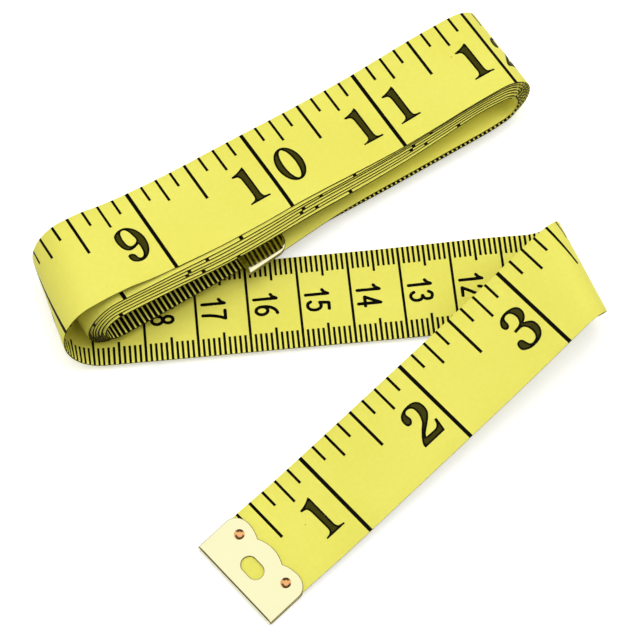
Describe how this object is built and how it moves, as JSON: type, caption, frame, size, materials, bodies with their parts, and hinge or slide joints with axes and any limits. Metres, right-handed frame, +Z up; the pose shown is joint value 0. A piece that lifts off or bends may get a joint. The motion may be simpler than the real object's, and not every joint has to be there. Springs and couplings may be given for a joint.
{
  "type": "cloth tape measure",
  "caption": "Flexible coated cloth tape measure, folded and wound flat, with a folded metal clip riveted to each end.",
  "frame": {"origin": "middle of the foot of the whole part's box, on the table", "axes": "+Z up from the table; +Y away from the start clip's side, along the part's longest extent; +X to the right, towards the crease"},
  "size_m": [0.1086, 0.1232, 0.0151],
  "materials": {
    "coated_tape": "smooth vinyl-coated woven tape, printed on both faces",
    "gilded_clip": "bright pale gold plate",
    "copper_rivet": "polished copper"
  },
  "bodies": {
    "strip": {"tape_strip": "coated_tape"},
    "leader": {"tape_leader": "coated_tape", "start_clip": "gilded_clip", "start_clip_rivet_1": "copper_rivet", "start_clip_rivet_2": "copper_rivet"},
    "coil": {"tape_coil": "coated_tape", "end_clip": "gilded_clip", "end_clip_rivet_1": "copper_rivet", "end_clip_rivet_2": "copper_rivet"}
  },
  "joints": [
    {"name": "leader_fold", "type": "hinge", "parent": "strip", "child": "leader", "pos_m": [0.04577, 0.00211, 0.01078], "axis": [-0.4083, 0.9128, 0], "range_deg": [0, 170]},
    {"name": "coil_fold", "type": "hinge", "parent": "strip", "child": "coil", "pos_m": [-0.04401, 0.00393, 0.01381], "axis": [0.5223, -0.8428, 0.1299], "range_deg": [0, 100]}
  ]
}
